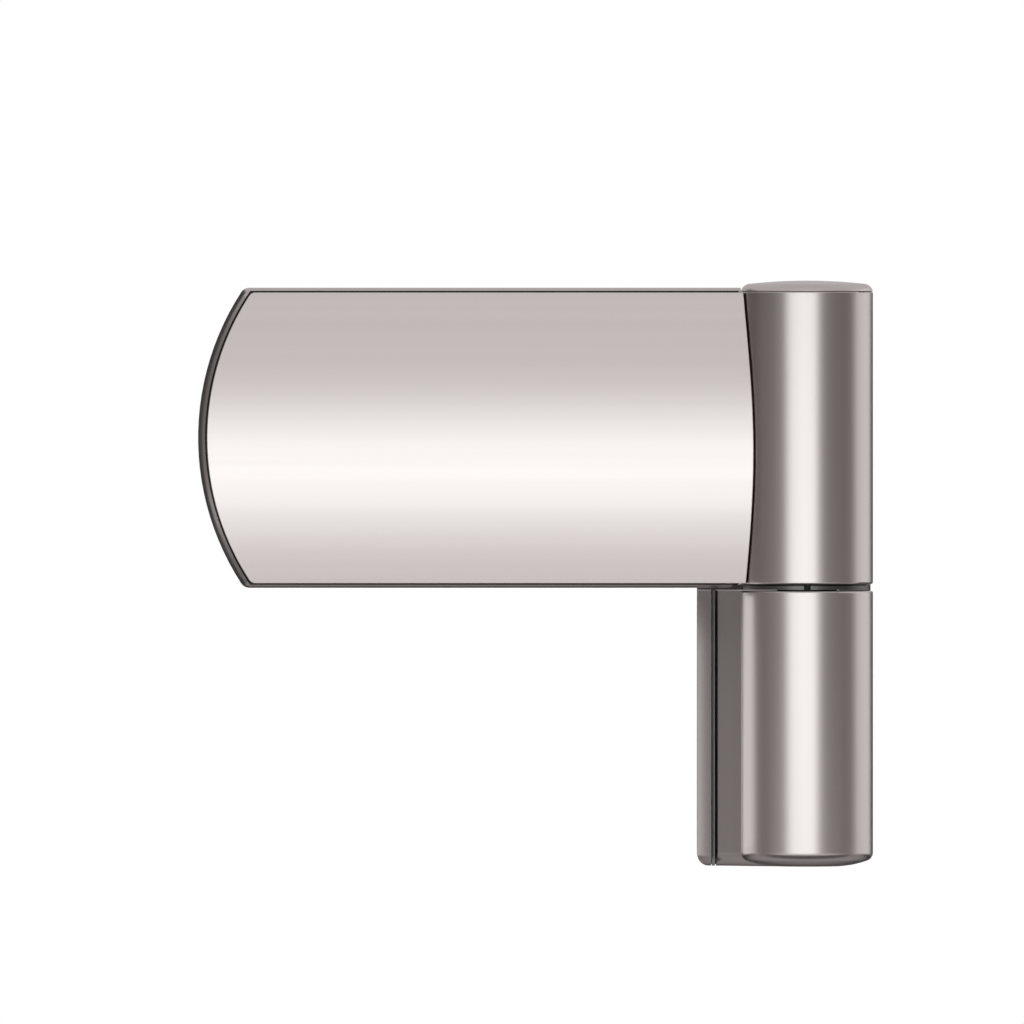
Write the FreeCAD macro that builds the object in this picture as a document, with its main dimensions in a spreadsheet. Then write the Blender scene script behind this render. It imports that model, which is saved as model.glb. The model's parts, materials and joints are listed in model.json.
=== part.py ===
import FreeCAD, Part
import math
import os
import re
import Sketcher

# Adjustable door hinge: a frame side with the lower barrel and a leaf side with the upper one.
# Every body is drawn about the pin axis, with Z = 0 on the top of the lower barrel, +Y towards
# the door. The placements then put the origin on the frame's mounting face.

SIZES = {
    # barrels and the seam between them
    "barrel_radius": 11.0,
    "frame_height": 45.9,
    "upper_barrel_length": 48.8,
    "seam_gap": 1.1,
    "barrel_edge_radius": 0.35,
    "lower_rise": 2.3,
    "lower_sweep": 6.5,
    "lower_corner_radius": 1.4,
    "dome_height": 1.73,
    "dome_radius": 87.0,
    "dome_edge_width": 1.24,
    "dome_edge_radius": 1.7,
    # pin, bushes and bearing
    "pin_radius": 5.0,
    "pin_foot": 12.9,
    "pin_above": 42.0,
    "pin_chamfer": 0.8,
    "pin_flat_depth": 1.0,
    "bush_wall": 2.0,
    "bush_recess": 0.3,
    "lower_bush_foot": 17.6,
    "upper_bush_length": 37.0,
    "collar_radius": 10.6,
    "collar_thickness": 0.9,
    "collar_step": 0.25,
    "collar_step_radius": 9.8,
    "collar_slit": 1.1,
    "pad_thickness": 3.0,
    "cap_spigot_radius": 4.0,
    "cap_spigot_length": 3.5,
    # height adjustment
    "height_screw_radius": 6.0,
    "height_screw_length": 6.5,
    "height_travel": 4.0,
    "height_socket": 5.0,
    "socket_depth": 3.5,
    "plug_radius": 4.5,
    "plug_rim": 1.4,
    "plug_spigot": 2.2,
    "plug_spigot_radius": 3.2,
    "plug_slot": 1.2,
    # frame side
    "face_depth": 28.0,
    "bracket_thickness": 4.0,
    "bracket_left": 18.2,
    "bracket_right": 10.8,
    "bracket_rise": 1.2,
    "bracket_corner_radius": 2.6,
    "bracket_heel_radius": 6.0,
    "bracket_hole_radius": 2.6,
    "bracket_head_radius": 4.7,
    "bracket_hole_row": 13.5,
    "bracket_hole_column": 34.0,
    "bracket_centre": 3.3,
    "post_radius": 4.0,
    "post_length": 12.0,
    "post_spacing": 24.0,
    "cheek_thickness": 1.9,
    "cheek_front": 9.7,
    "cheek_lip": 0.45,
    "cheek_lip_front": 6.0,
    "cheek_lip_slope": 0.6,
    "access_radius": 3.5,
    "cover_strip_front": 6.4,
    "cover_strip_wall": 0.95,
    "cover_nose_radius": 23.0,
    "cover_nose_depth": 2.8,
    "cover_foot_radius": 1.9,
    "cover_joint": 0.15,
    "cover_peg_radius": 1.5,
    "cover_peg_first": 13.6,
    "cover_peg_second": 21.0,
    "neck_left": 15.05,
    "neck_right": 5.5,
    "neck_flank": 6.0,
    "neck_flank_run": 10.0,
    "neck_flank_edge": 0.25,
    "neck_corner_radius": 2.0,
    "pressure_travel": 1.5,
    "pressure_stop": 0.5,
    "side_gap": 0.25,
    "set_screw_radius": 3.0,
    "set_screw_length": 6.5,
    "set_screw_socket": 3.0,
    "set_screw_depth": 17.0,
    "lock_screw_length": 8.0,
    # leaf side
    "leaf_height": 50.0,
    "leaf_lift": 0.45,
    "leaf_reach": 101.4,
    "leaf_end_radius": 44.6,
    "leaf_corner_radius": 1.7,
    "leaf_step": 1.3,
    "rim_side": 0.55,
    "rim_end": 1.3,
    "rim_edge_radius": 2.4,
    "arm_root": 4.0,
    "sash_offset": 10.5,
    "sash_gap": 0.3,
    "deck_thickness": 3.25,
    "tray_depth": 2.0,
    # leaf cover
    "cover_gap": 0.25,
    "cover_barrel_gap": 0.25,
    "cover_wall": 1.5,
    "cover_corner_radius": 1.2,
    "cover_edge_radius": 0.1,
    "cover_end_radius": 43.35,
    "crown_radius": 115.0,
    "crown_rise": 10.2,
    "crown_drop": 2.35,
    "cover_leg_width": 6.0,
    "cover_leg_length": 2.75,
    "cover_leg_spacing": 40.0,
    # base plate and sideways adjustment
    "base_thickness": 4.0,
    "base_length": 58.0,
    "base_height": 41.0,
    "base_centre": 59.0,
    "base_corner_radius": 3.0,
    "base_hole_radius": 2.75,
    "base_head_radius": 5.25,
    "base_hole_row": 48.0,
    "base_hole_column": 29.0,
    "side_travel": 5.0,
    "spindle_rise": 4.0,
    "spindle_radius": 3.0,
    "spindle_tail_radius": 2.5,
    "spindle_head_radius": 3.6,
    "spindle_head_length": 3.0,
    "spindle_socket": 4.0,
    "lug_thickness": 4.0,
    "lug_width": 10.0,
    "lug_first": 84.0,
    "lug_second": 38.0,
    "lug_cap": 3.7,
    "keeper_thickness": 0.8,
    "keeper_groove": 0.7,
    "nut_length": 8.0,
    "nut_width": 11.0,
    "nut_cap": 3.9,
    "nut_spigot_radius": 3.0,
    "clamp_radius": 3.0,
    "clamp_head_radius": 5.25,
    "clamp_head_height": 3.3,
    "clamp_socket": 4.0,
    "clamp_spacing": 26.0,
    "clamp_end_gap": 0.3,
    "washer_radius": 7.0,
    "washer_thickness": 1.5,
    # clearances
    "run_clear": 0.05,
    "seat_clear": 0.03,
    "slide_clear": 0.05,
    "slot_clear": 0.3,
    "overcut": 1.0,
}

# Heights along the pin
FRAME_MIDDLE = "(-frame_height / 2)"
BUSH_INNER = "(pin_radius + run_clear)"
BUSH_OUTER = "(pin_radius + run_clear + bush_wall)"
BUSH_SEAT = "(pin_radius + run_clear + bush_wall + seat_clear)"
LOWER_BUSH_END = "(-frame_height + lower_bush_foot)"
PIN_END = "(-frame_height + pin_foot)"
SCREW_TOP = f"({PIN_END} - slide_clear)"
SCREW_FLOOR = f"({PIN_END} - slide_clear - height_screw_length - slot_clear)"
PLUG_SEAT = "(-frame_height + plug_rim)"
UPPER_TOP = "(seam_gap + upper_barrel_length)"
PAD_BOTTOM = "(pin_above + slide_clear)"
PAD_SEAT = "(pin_above + slide_clear + pad_thickness)"
LEAF_BOTTOM = "leaf_lift"
LEAF_TOP = "(leaf_lift + leaf_height)"
LEAF_MIDDLE = "(leaf_lift + leaf_height / 2)"

# Depths behind the pin axis
BRACKET_FRONT = "(face_depth - bracket_thickness)"
KNUCKLE_BACK = "(face_depth - bracket_thickness - pressure_travel - pressure_stop)"
POST_FRONT = "(face_depth - bracket_thickness - post_length)"
POST_POCKET = "(face_depth - bracket_thickness - post_length - pressure_travel - slot_clear)"
CARRIER_BACK = "(sash_offset - sash_gap)"
BASE_FRONT = "(sash_offset - base_thickness)"
DECK_BACK = "(sash_offset - base_thickness - slide_clear)"
DECK_FRONT = "(sash_offset - base_thickness - slide_clear - deck_thickness)"
RIM_FRONT = f"({DECK_FRONT} - tray_depth)"
CROWN_FRONT = f"({DECK_FRONT} - crown_rise)"
SPINDLE_DEPTH = f"({DECK_FRONT} - spindle_rise)"

# Distances left of the pin axis, as coordinates
CHEEK_INNER = "(-neck_left - side_gap)"
CHEEK_OUTER = "(-neck_left - side_gap - cheek_thickness)"
LIP_OUTER = "(-neck_left - side_gap - cheek_lip)"
NOSE_INNER = "(-neck_left - side_gap - cheek_lip - cover_joint)"
SET_SCREW_TIP = "(-bracket_centre - post_radius - slide_clear)"

doc = FreeCAD.newDocument("door_hinge")
sheet = doc.addObject("Spreadsheet::Sheet", "dims")
nodes = []


def fill_sheet():
    """Writes each size as a plain number with its name as the cell's alias."""
    for row, (name, size) in enumerate(SIZES.items(), start=1):
        sheet.set(f"A{row}", name)
        sheet.set(f"B{row}", str(size))
        sheet.setAlias(f"B{row}", name)
    doc.recompute()


def bound(text):
    """Makes a sum of size names into an expression that reads the sheet."""
    return re.sub(r"[a-z][a-z_]*", lambda word: f"dims.{word[0]}" if word[0] in SIZES else word[0], text)


def amount(text):
    """The present value of a sum of size names."""
    return float(sheet.evalExpression(bound(text)))


def new_body(name):
    return doc.addObject("PartDesign::Body", name)


def place(thing, x="0", y="0", z="0"):
    """Carries a body from the pin's frame to the frame of the mounting face."""
    thing.setExpression("Placement.Base.x", bound(x))
    thing.setExpression("Placement.Base.y", bound(f"{y} - face_depth"))
    thing.setExpression("Placement.Base.z", bound(f"{z} + frame_height / 2"))


def keep(thing, label):
    """Names a finished sub-part as one node of the hinge."""
    thing.Label = label
    nodes.append((label, thing))


PLANES = {"plan": "XY_Plane", "front": "XZ_Plane", "side": "YZ_Plane"}


def sketch_on(body, plane, at, name):
    """A sketch across Z (plan), Y (front) or X (side), at the given place along that axis."""
    sketch = body.newObject("Sketcher::SketchObject", name)
    origin_plane = [part for part in body.Origin.OriginFeatures if part.Role == PLANES[plane]][0]
    sketch.AttachmentSupport = [(origin_plane, "")]
    sketch.MapMode = "FlatFace"
    if at != "0":
        along_normal = f"-({at})" if plane == "front" else at
        sketch.setExpression("AttachmentOffset.Base.z", bound(along_normal))
    return sketch


def hold_point(sketch, geometry, point, x, y):
    """Ties a point of the sketch to its two coordinates."""
    for kind, axis, text in (("DistanceX", -2, x), ("DistanceY", -1, y)):
        if text == "0":
            sketch.addConstraint(Sketcher.Constraint("PointOnObject", geometry, point, axis))
            continue
        index = sketch.addConstraint(Sketcher.Constraint(kind, -1, 1, geometry, point, amount(text)))
        sketch.setExpression(f"Constraints[{index}]", bound(text))


def hold_radius(sketch, geometry, radius):
    index = sketch.addConstraint(Sketcher.Constraint("Radius", geometry, amount(radius)))
    sketch.setExpression(f"Constraints[{index}]", bound(radius))


def arc_between(start, end, radius):
    """The short arc that turns left on its way from start to end."""
    middle = (start + end) * 0.5
    half = (end - start) * 0.5
    left = FreeCAD.Vector(-half.y, half.x, 0).normalize()
    centre = middle + left * math.sqrt(radius**2 - half.Length**2)
    angles = [math.atan2(point.y - centre.y, point.x - centre.x) for point in (start, end)]
    return Part.ArcOfCircle(Part.Circle(centre, FreeCAD.Vector(0, 0, 1), radius), *angles)


def outline(sketch, corners):
    """A closed outline through corners (x, y), or (x, y, radius) where an arc leads to the next."""
    first = sketch.GeometryCount
    count = len(corners)
    points = [FreeCAD.Vector(amount(corner[0]), amount(corner[1]), 0) for corner in corners]
    for index, corner in enumerate(corners):
        start = points[index]
        end = points[(index + 1) % count]
        if len(corner) == 3:
            sketch.addGeometry(arc_between(start, end, amount(corner[2])), False)
        else:
            sketch.addGeometry(Part.LineSegment(start, end), False)
    for index, corner in enumerate(corners):
        following = first + (index + 1) % count
        sketch.addConstraint(Sketcher.Constraint("Coincident", first + index, 2, following, 1))
        hold_point(sketch, first + index, 1, corner[0], corner[1])
        if len(corner) == 3:
            hold_radius(sketch, first + index, corner[2])


def rectangle(sketch, left, right, low, high):
    outline(sketch, [(left, low), (right, low), (right, high), (left, high)])


def circle(sketch, x, y, radius):
    centre = FreeCAD.Vector(amount(x), amount(y), 0)
    index = sketch.addGeometry(Part.Circle(centre, FreeCAD.Vector(0, 0, 1), amount(radius)), False)
    hold_point(sketch, index, 3, x, y)
    hold_radius(sketch, index, radius)


def hexagon(sketch, flats):
    """A hexagon about the sketch's origin, given by its width across flats."""
    half = f"({flats} / 2)"
    low = f"({flats} / 2 / sqrt(3))"
    high = f"({flats} / sqrt(3))"
    outline(sketch, [(half, f"-{low}"), (half, low), ("0", high),
                     (f"-{half}", low), (f"-{half}", f"-{low}"), ("0", f"-{high}")])


def slot(sketch, x, y, half_run, radius):
    """A round-ended slot along the sketch's first axis, half_run from its middle to each end's centre."""
    first = sketch.GeometryCount
    reach = amount(half_run)
    bend = amount(radius)
    middle = FreeCAD.Vector(amount(x), amount(y), 0)
    along = FreeCAD.Vector(reach, 0, 0)
    across = FreeCAD.Vector(0, bend, 0)
    upward = FreeCAD.Vector(0, 0, 1)
    quarter = math.pi / 2
    sketch.addGeometry(Part.LineSegment(middle - along - across, middle + along - across), False)
    right_end = Part.Circle(middle + along, upward, bend)
    sketch.addGeometry(Part.ArcOfCircle(right_end, -quarter, quarter), False)
    sketch.addGeometry(Part.LineSegment(middle + along + across, middle - along + across), False)
    left_end = Part.Circle(middle - along, upward, bend)
    sketch.addGeometry(Part.ArcOfCircle(left_end, quarter, 3 * quarter), False)
    for index in range(4):
        following = first + (index + 1) % 4
        sketch.addConstraint(Sketcher.Constraint("Tangent", first + index, 2, following, 1))
    hold_point(sketch, first + 1, 3, f"{x} + {half_run}", y)
    hold_point(sketch, first + 3, 3, f"{x} - {half_run}", y)
    hold_radius(sketch, first + 1, radius)


def settle(body, feature, grows):
    """Recomputes and makes sure that the feature added to or cut from the body as meant."""
    before = feature.BaseFeature.Shape.Volume if feature.BaseFeature else 0.0
    doc.recompute()
    after = feature.Shape.Volume
    if not feature.isValid() or (after <= before if grows else after >= before):
        raise RuntimeError(f"{body.Name}: {feature.Name} went from {before:.3f} to {after:.3f}")
    return feature


def pad(body, sketch, length):
    """Grows the sketch: upwards from a plan, towards the viewer from a front, to the right from a side."""
    feature = body.newObject("PartDesign::Pad", f"{sketch.Name}_pad")
    feature.Profile = sketch
    feature.setExpression("Length", bound(length))
    return settle(body, feature, True)


def pocket(body, sketch, depth):
    """Cuts the sketch the other way: downwards, towards the door, or to the left."""
    feature = body.newObject("PartDesign::Pocket", f"{sketch.Name}_pocket")
    feature.Profile = sketch
    feature.setExpression("Length", bound(depth))
    return settle(body, feature, False)


def revolve(body, sketch, axis):
    feature = body.newObject("PartDesign::Revolution", f"{sketch.Name}_turned")
    feature.Profile = sketch
    feature.ReferenceAxis = (sketch, [axis])
    feature.Angle = 360.0
    return settle(body, feature, True)


def groove(body, sketch, axis):
    feature = body.newObject("PartDesign::Groove", f"{sketch.Name}_groove")
    feature.Profile = sketch
    feature.ReferenceAxis = (sketch, [axis])
    feature.Angle = 360.0
    return settle(body, feature, False)


def countersunk_holes(body, sketch, radius, head_radius):
    """Through holes with a 90 degree countersink at the sketch's plane."""
    doc.recompute()
    feature = body.newObject("PartDesign::Hole", f"{sketch.Name}_holes")
    feature.Profile = sketch
    feature.ThreadType = "None"
    feature.DepthType = "ThroughAll"
    feature.HoleCutType = "Countersink"
    feature.HoleCutCustomValues = True
    feature.setExpression("Diameter", bound(f"2 * {radius}"))
    feature.setExpression("HoleCutDiameter", bound(f"2 * {head_radius}"))
    feature.HoleCutCountersinkAngle = 90.0
    return settle(body, feature, False)


def round_edges(body, base, radius, chosen):
    """Fillets the edges of the base feature that the test chooses."""
    names = [f"Edge{index}" for index, edge in enumerate(base.Shape.Edges, start=1) if chosen(edge)]
    feature = body.newObject("PartDesign::Fillet", f"{base.Name}_round")
    feature.Base = (base, names)
    feature.setExpression("Radius", bound(radius))
    doc.recompute()
    if not names or not feature.isValid():
        raise RuntimeError(f"{body.Name}: the rounding on {base.Name} failed, {len(names)} edges")
    return feature


def edge_along(edge, axis):
    """True for a straight edge that runs along the given axis."""
    return isinstance(edge.Curve, Part.Line) and edge.Curve.Direction.cross(axis).Length < 1e-6


Y_AXIS = FreeCAD.Vector(0, 1, 0)


def end_corner(reach, radius, half_height):
    """The coordinate where an arched end that reaches to the left meets its straight sides."""
    return f"(-({reach}) + {radius} - sqrt({radius}^2 - ({half_height})^2))"


def make_frame_bracket():
    """Base plate with two guide posts, and the cheek that stands beside the knuckle."""
    body = new_body("frame_bracket")
    plate = sketch_on(body, "front", "face_depth", "plate")
    rectangle(plate, "-bracket_left", "bracket_right", "-frame_height", "bracket_rise")
    flat = pad(body, plate, "bracket_thickness")
    bottom = -amount("frame_height")

    def is_lower_corner(edge):
        return edge_along(edge, Y_AXIS) and abs(edge.CenterOfMass.z - bottom) < 1e-6

    flat = round_edges(body, flat, "bracket_corner_radius",
                       lambda edge: is_lower_corner(edge) and edge.CenterOfMass.x < 0)
    round_edges(body, flat, "bracket_heel_radius",
                lambda edge: is_lower_corner(edge) and edge.CenterOfMass.x > 0)
    cheek = sketch_on(body, "front", BRACKET_FRONT, "cheek")
    rectangle(cheek, CHEEK_OUTER, CHEEK_INNER,
              "-frame_height + cover_strip_wall + slide_clear", "-cover_strip_wall - slide_clear")
    pad(body, cheek, f"{BRACKET_FRONT} - cheek_front")
    lip = sketch_on(body, "plan", "-frame_height", "lip")
    outline(lip, [
        (LIP_OUTER, "cheek_lip_front + cheek_lip_slope"),
        (CHEEK_INNER, "cheek_lip_front"),
        (CHEEK_INNER, "cheek_front + overcut"),
        (LIP_OUTER, "cheek_front + overcut"),
    ])
    pad(body, lip, "frame_height")
    posts = sketch_on(body, "front", BRACKET_FRONT, "posts")
    for side in ("-", "+"):
        circle(posts, "-bracket_centre", f"{FRAME_MIDDLE} {side} post_spacing / 2", "post_radius")
    raised = pad(body, posts, "post_length")
    round_edges(body, raised, "pin_chamfer", is_post_end)
    access = sketch_on(body, "side", f"{CHEEK_INNER} + overcut", "access")
    for side in ("-", "+"):
        circle(access, "set_screw_depth", f"{FRAME_MIDDLE} {side} post_spacing / 2", "access_radius")
    for peg in ("cover_peg_first", "cover_peg_second"):
        circle(access, peg, FRAME_MIDDLE, "cover_peg_radius + slide_clear")
    pocket(body, access, "cheek_thickness + 2 * overcut")
    fixing = sketch_on(body, "front", BRACKET_FRONT, "fixing")
    for column in ("-", "+"):
        for row in ("-", "+"):
            circle(fixing, f"-bracket_centre {column} bracket_hole_row / 2",
                   f"{FRAME_MIDDLE} {row} bracket_hole_column / 2", "bracket_hole_radius")
    countersunk_holes(body, fixing, "bracket_hole_radius", "bracket_head_radius")
    place(body)
    keep(body, "frame_bracket")


def is_post_end(edge):
    """True for the rim of a guide post's free end."""
    return isinstance(edge.Curve, Part.Circle) and abs(edge.Curve.Center.y - amount(POST_FRONT)) < 1e-6


def make_frame_cover():
    """Strip that wraps the cheek, its flank an arc that turns from the side to the front."""
    body = new_body("frame_cover")
    back = f"({BRACKET_FRONT} - cover_joint)"
    block = sketch_on(body, "plan", "-frame_height", "block")
    outline(block, [
        ("-bracket_left", "cover_strip_front + cover_nose_depth", "cover_nose_radius"),
        (NOSE_INNER, "cover_strip_front"),
        (NOSE_INNER, back),
        ("-bracket_left", back),
    ])
    solid = pad(body, block, "frame_height")
    bottom = -amount("frame_height")
    inner = amount(NOSE_INNER)
    rear = amount(back)

    def is_foot(edge):
        box = edge.BoundBox
        at_bottom = box.ZLength < 1e-6 and abs(box.ZMin - bottom) < 1e-6
        return at_bottom and box.XMin < inner - 1e-6 and box.YMin < rear - 1e-6

    round_edges(body, solid, "cover_foot_radius", is_foot)
    hollow = sketch_on(body, "front", "cheek_front - slide_clear", "hollow")
    rectangle(hollow, f"{CHEEK_OUTER} - slide_clear", f"{NOSE_INNER} + overcut",
              "-frame_height + cover_strip_wall", "-cover_strip_wall")
    pocket(body, hollow, f"{BRACKET_FRONT} - cheek_front + overcut")
    pegs = sketch_on(body, "side", f"{CHEEK_OUTER} - slide_clear - seat_clear", "pegs")
    for peg in ("cover_peg_first", "cover_peg_second"):
        circle(pegs, peg, FRAME_MIDDLE, "cover_peg_radius")
    pad(body, pegs, "cheek_thickness")
    place(body)
    keep(body, "frame_cover")


def make_frame_knuckle():
    """Lower barrel and its neck, bored for the pin, the posts and the grub screws."""
    body = new_body("frame_knuckle")
    neck = sketch_on(body, "plan", "-frame_height", "neck")
    outline(neck, [
        ("-neck_left", "neck_flank + 2 * neck_flank_edge"),
        ("-neck_left + neck_flank_edge", "neck_flank - neck_flank_edge"),
        ("-neck_left + neck_flank_run", "neck_flank - neck_flank_run"),
        ("neck_right", "0"),
        ("neck_right", KNUCKLE_BACK),
        ("-neck_left", KNUCKLE_BACK),
    ])
    block = pad(body, neck, "frame_height")
    right = amount("neck_right")
    back = amount(KNUCKLE_BACK)
    bottom = -amount("frame_height")

    def is_back_corner(edge):
        middle = edge.CenterOfMass
        return abs(middle.x - right) < 1e-6 and abs(middle.y - back) < 1e-6

    def is_flank_foot(edge):
        box = edge.BoundBox
        sloped = box.XLength > amount("neck_flank_run") / 2 and box.YLength > amount("neck_flank_run") / 2
        return sloped and box.ZLength < 1e-6 and abs(box.ZMin - bottom) < 1e-6

    block = round_edges(body, block, "neck_corner_radius", is_back_corner)
    round_edges(body, block, "lower_rise", is_flank_foot)
    barrel = sketch_on(body, "front", "0", "barrel")
    span = "(lower_sweep - lower_corner_radius)"
    squares = "(lower_sweep^2 + lower_rise^2 - 2 * lower_sweep * lower_corner_radius)"
    crown = f"({squares} / (2 * (lower_rise - lower_corner_radius)))"
    share = f"({crown} / ({crown} - lower_corner_radius))"
    outline(barrel, [
        ("0", "-frame_height"),
        ("barrel_radius - lower_sweep", "-frame_height", crown),
        (f"barrel_radius - lower_sweep + {span} * {share}",
         f"-frame_height + {crown} - ({crown} - lower_rise) * {share}", "lower_corner_radius"),
        ("barrel_radius", "-frame_height + lower_rise"),
        ("barrel_radius", "-barrel_edge_radius", "barrel_edge_radius"),
        ("barrel_radius - barrel_edge_radius", "0"),
        ("0", "0"),
    ])
    revolve(body, barrel, "V_Axis")
    bore = sketch_on(body, "front", "0", "bore")
    screw_bore = "(height_screw_radius + run_clear)"
    outline(bore, [
        ("0", "overcut"),
        ("0", "-frame_height - overcut"),
        ("plug_radius + seat_clear", "-frame_height - overcut"),
        ("plug_radius + seat_clear", PLUG_SEAT),
        ("plug_spigot_radius + seat_clear", PLUG_SEAT),
        ("plug_spigot_radius + seat_clear", SCREW_FLOOR),
        (screw_bore, SCREW_FLOOR),
        (screw_bore, LOWER_BUSH_END),
        (BUSH_SEAT, LOWER_BUSH_END),
        (BUSH_SEAT, "overcut"),
    ])
    groove(body, bore, "V_Axis")
    guides = sketch_on(body, "front", POST_POCKET, "guides")
    for side in ("-", "+"):
        height = f"{FRAME_MIDDLE} {side} post_spacing / 2"
        circle(guides, "-bracket_centre", height, "post_radius + run_clear")
    pocket(body, guides, f"{KNUCKLE_BACK} - {POST_POCKET} + overcut")
    lock = sketch_on(body, "front", "pin_radius", "lock")
    circle(lock, "0", FRAME_MIDDLE, "set_screw_radius + run_clear")
    pocket(body, lock, f"{KNUCKLE_BACK} - pin_radius + overcut")
    clamps = sketch_on(body, "side", "-bracket_centre", "clamps")
    for side in ("-", "+"):
        height = f"{FRAME_MIDDLE} {side} post_spacing / 2"
        circle(clamps, "set_screw_depth", height, "set_screw_radius + run_clear")
    pocket(body, clamps, "neck_left - bracket_centre + overcut")
    place(body)
    keep(body, "frame_knuckle")


def make_set_screw(name, length, axis):
    """Grub screw with a hexagon socket, its tip at the origin: along -X, or along +Y."""
    body = new_body(name)
    turned = sketch_on(body, "plan", "0", f"{name}_profile")
    chamfer = "(set_screw_radius / 4)"
    if axis == "X":
        outline(turned, [
            (f"-({length})", "0"), ("0", "0"), ("0", f"set_screw_radius - {chamfer}"),
            (f"-{chamfer}", "set_screw_radius"), (f"-({length})", "set_screw_radius"),
        ])
        revolve(body, turned, "H_Axis")
        socket = sketch_on(body, "side", f"-({length}) + set_screw_socket", f"{name}_socket")
    else:
        outline(turned, [
            ("0", "0"), (f"set_screw_radius - {chamfer}", "0"), ("set_screw_radius", chamfer),
            ("set_screw_radius", length), ("0", length),
        ])
        revolve(body, turned, "V_Axis")
        socket = sketch_on(body, "front", f"{length} - set_screw_socket", f"{name}_socket")
    hexagon(socket, "set_screw_socket")
    pocket(body, socket, "set_screw_socket + overcut")
    return body


def make_group(label, members):
    """Several equal pieces as one node."""
    group = doc.addObject("Part::Compound", label)
    group.Links = members
    keep(group, label)


def make_frame_screws():
    """Two grub screws on the guide posts and one on the flat of the pin."""
    pair = []
    for index, side in enumerate(("-", "+")):
        screw = make_set_screw(f"set_screw_{index}", "set_screw_length", "X")
        place(screw, SET_SCREW_TIP, "set_screw_depth", f"{FRAME_MIDDLE} {side} post_spacing / 2")
        pair.append(screw)
    make_group("knuckle_set_screws", pair)
    lock = make_set_screw("pin_lock_screw", "lock_screw_length", "Y")
    place(lock, "0", "pin_radius - pin_flat_depth + slide_clear", FRAME_MIDDLE)
    keep(lock, "pin_lock_screw")


def make_hinge_pin():
    """Turned pin with a long flat for its lock screw."""
    body = new_body("hinge_pin")
    profile = sketch_on(body, "front", "0", "pin_profile")
    outline(profile, [
        ("0", PIN_END),
        ("pin_radius - pin_chamfer", PIN_END),
        ("pin_radius", f"{PIN_END} + pin_chamfer"),
        ("pin_radius", "pin_above - pin_chamfer"),
        ("pin_radius - pin_chamfer", "pin_above"),
        ("0", "pin_above"),
    ])
    revolve(body, profile, "V_Axis")
    flat = sketch_on(body, "front", "pin_radius - pin_flat_depth", "flat")
    rectangle(flat, "-pin_radius", "pin_radius",
              f"{FRAME_MIDDLE} - set_screw_radius - height_travel - slot_clear",
              f"{FRAME_MIDDLE} + set_screw_radius + slot_clear")
    pocket(body, flat, "pin_flat_depth + overcut")
    place(body)
    keep(body, "hinge_pin")


def make_lower_bush():
    body = new_body("lower_bush")
    profile = sketch_on(body, "front", "0", "lower_bush_profile")
    rectangle(profile, BUSH_INNER, BUSH_OUTER, LOWER_BUSH_END, "-bush_recess")
    revolve(body, profile, "V_Axis")
    window = sketch_on(body, "front", "0", "lock_window")
    circle(window, "0", FRAME_MIDDLE, "set_screw_radius + slot_clear")
    pocket(body, window, f"{BUSH_OUTER} + overcut")
    place(body)
    keep(body, "lower_bush")


def make_upper_bush():
    """Bush with the collar in the seam, slit along the front."""
    body = new_body("upper_bush")
    profile = sketch_on(body, "front", "0", "upper_bush_profile")
    collar_bottom = "seam_gap - collar_thickness"
    outline(profile, [
        (BUSH_INNER, collar_bottom),
        ("collar_radius", collar_bottom),
        ("collar_radius", "seam_gap - collar_step"),
        ("collar_step_radius", "seam_gap - collar_step"),
        ("collar_step_radius", "seam_gap"),
        (BUSH_OUTER, "seam_gap"),
        (BUSH_OUTER, "seam_gap + upper_bush_length"),
        (BUSH_INNER, "seam_gap + upper_bush_length"),
    ])
    revolve(body, profile, "V_Axis")
    slit = sketch_on(body, "plan", "seam_gap + upper_bush_length + overcut", "slit")
    rectangle(slit, "-collar_slit / 2", "collar_slit / 2", "-collar_radius - overcut", "0")
    pocket(body, slit, "upper_bush_length + collar_thickness + 2 * overcut")
    place(body)
    keep(body, "upper_bush")


def make_thrust_pad():
    body = new_body("thrust_pad")
    profile = sketch_on(body, "front", "0", "pad_profile")
    rectangle(profile, "0", BUSH_OUTER, PAD_BOTTOM, PAD_SEAT)
    revolve(body, profile, "V_Axis")
    place(body)
    keep(body, "thrust_pad")


def make_top_cap():
    """Domed cap with a rounded edge, and the spigot that holds it in the barrel."""
    body = new_body("top_cap")
    profile = sketch_on(body, "front", "0", "cap_profile")
    sag = "(dome_radius - sqrt(dome_radius^2 - (barrel_radius - dome_edge_width)^2))"
    shoulder = f"({UPPER_TOP} + dome_height - {sag})"
    outline(profile, [
        ("0", f"{UPPER_TOP} - cap_spigot_length"),
        ("cap_spigot_radius - seat_clear", f"{UPPER_TOP} - cap_spigot_length"),
        ("cap_spigot_radius - seat_clear", UPPER_TOP),
        ("barrel_radius", UPPER_TOP, "dome_edge_radius"),
        ("barrel_radius - dome_edge_width", shoulder, "dome_radius"),
        ("0", f"{UPPER_TOP} + dome_height"),
    ])
    revolve(body, profile, "V_Axis")
    place(body)
    keep(body, "top_cap")


def make_height_screw():
    body = new_body("height_screw")
    profile = sketch_on(body, "front", "0", "height_profile")
    bottom = f"{SCREW_TOP} - height_screw_length"
    outline(profile, [
        ("0", bottom),
        ("height_screw_radius", bottom),
        ("height_screw_radius", f"{SCREW_TOP} - pin_chamfer"),
        ("height_screw_radius - pin_chamfer", SCREW_TOP),
        ("0", SCREW_TOP),
    ])
    revolve(body, profile, "V_Axis")
    socket = sketch_on(body, "plan", f"{bottom} + socket_depth", "height_socket_flats")
    hexagon(socket, "height_socket")
    pocket(body, socket, "socket_depth + overcut")
    place(body)
    keep(body, "height_screw")


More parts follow.
